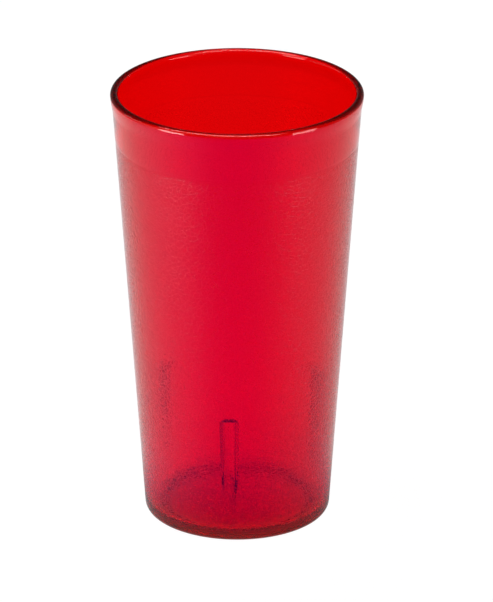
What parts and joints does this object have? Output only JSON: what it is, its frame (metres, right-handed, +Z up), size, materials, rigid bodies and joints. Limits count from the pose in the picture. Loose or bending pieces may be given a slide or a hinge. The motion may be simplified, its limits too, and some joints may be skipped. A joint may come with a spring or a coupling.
{
  "type": "plastic tumbler",
  "caption": "Tapered see-through red plastic tumbler with a beaded rim, a plain lip band, a pebbled outside wall, stacking ribs inside and a ring foot.",
  "frame": {"origin": "centre of the foot ring, on the table", "axes": "+Z up the cup's axis towards the mouth; one of the stacking ribs inside faces -Y"},
  "size_m": [0.0826, 0.0826, 0.1474],
  "materials": {
    "red_plastic": "see-through, polished inside and at the lip band, finely pebbled outside"
  },
  "bodies": {
    "root": {"tumbler": "red_plastic"}
  },
  "joints": []
}
